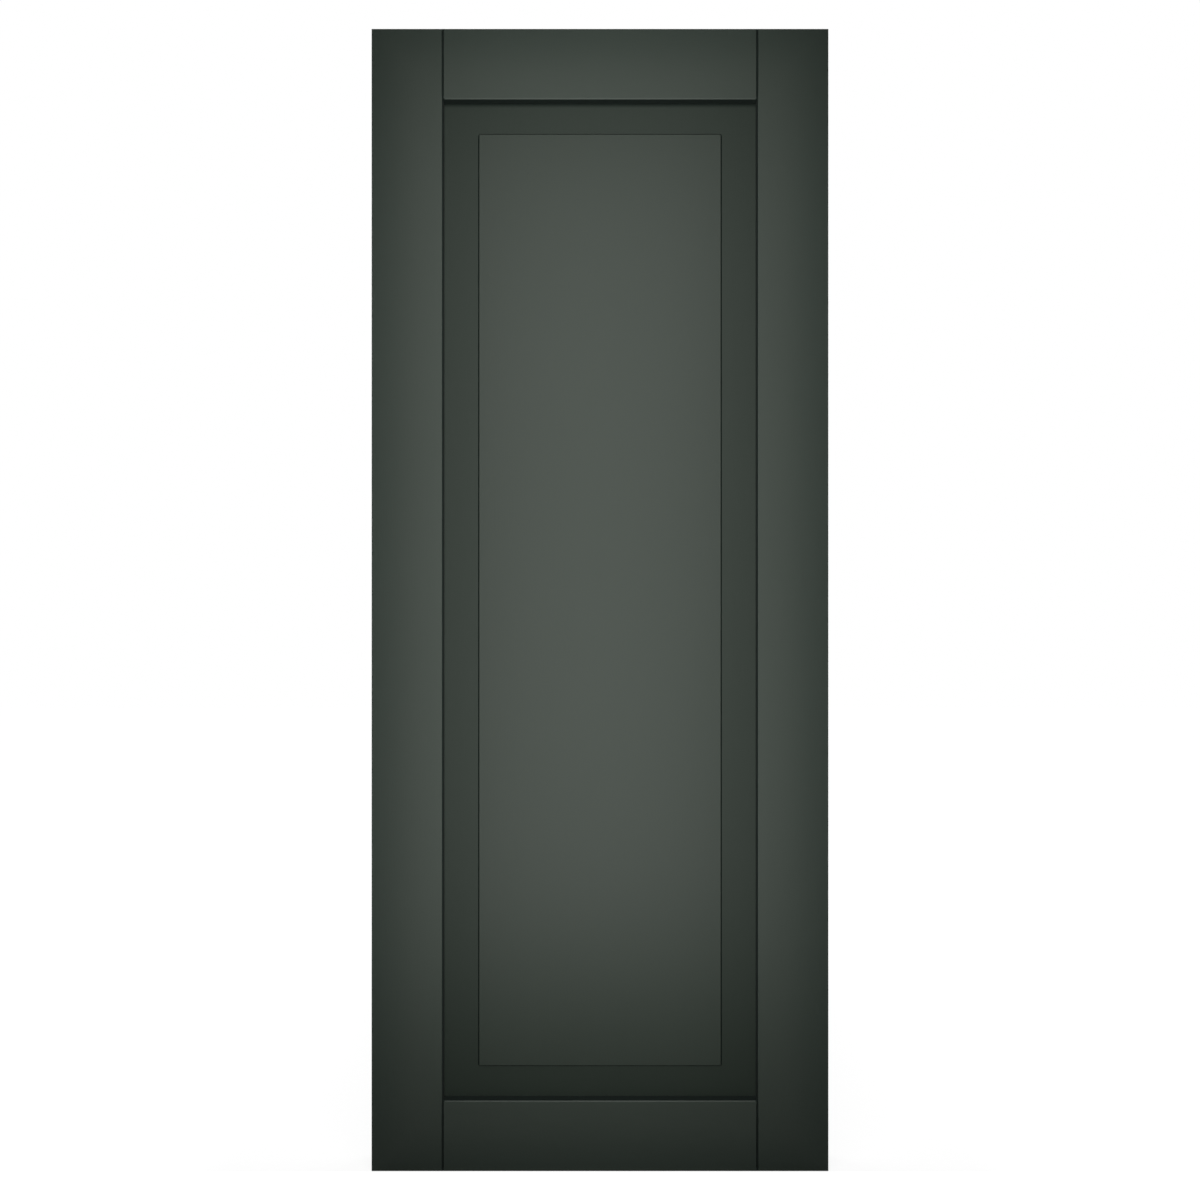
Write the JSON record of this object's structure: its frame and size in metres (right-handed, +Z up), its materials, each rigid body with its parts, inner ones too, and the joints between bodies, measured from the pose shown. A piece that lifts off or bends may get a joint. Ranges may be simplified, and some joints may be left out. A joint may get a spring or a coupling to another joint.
{
  "type": "panelled front door",
  "caption": "Painted timber front-door leaf: stiles and rails with wedged through tenons round a tall raised and fielded panel, with hinge recesses and pilot holes in one edge.",
  "frame": {"origin": "the middle of the leaf's bottom edge, halfway through its thickness", "axes": "+X across the leaf towards the lock side, -Y out of its outside face, +Z up"},
  "size_m": [0.813, 0.044, 2.032],
  "materials": {
    "painted_timber": "satin",
    "wedge_timber": "matte",
    "spacer_rubber": "matte"
  },
  "bodies": {
    "root": {"hinge_stile": "painted_timber", "lock_stile": "painted_timber", "top_rail": "painted_timber", "bottom_rail": "painted_timber", "raised_panel": "painted_timber", "wedge_top_hinge_upper": "wedge_timber", "wedge_top_hinge_lower": "wedge_timber", "wedge_top_lock_upper": "wedge_timber", "wedge_top_lock_lower": "wedge_timber", "wedge_bottom_hinge_upper": "wedge_timber", "wedge_bottom_hinge_lower": "wedge_timber", "wedge_bottom_lock_upper": "wedge_timber", "wedge_bottom_lock_lower": "wedge_timber", "spacer_hinge_1": "spacer_rubber", "spacer_hinge_2": "spacer_rubber", "spacer_hinge_3": "spacer_rubber", "spacer_hinge_4": "spacer_rubber", "spacer_lock_1": "spacer_rubber", "spacer_lock_2": "spacer_rubber", "spacer_lock_3": "spacer_rubber", "spacer_lock_4": "spacer_rubber", "spacer_top_1": "spacer_rubber", "spacer_top_2": "spacer_rubber", "spacer_bottom_1": "spacer_rubber", "spacer_bottom_2": "spacer_rubber"}
  },
  "joints": []
}
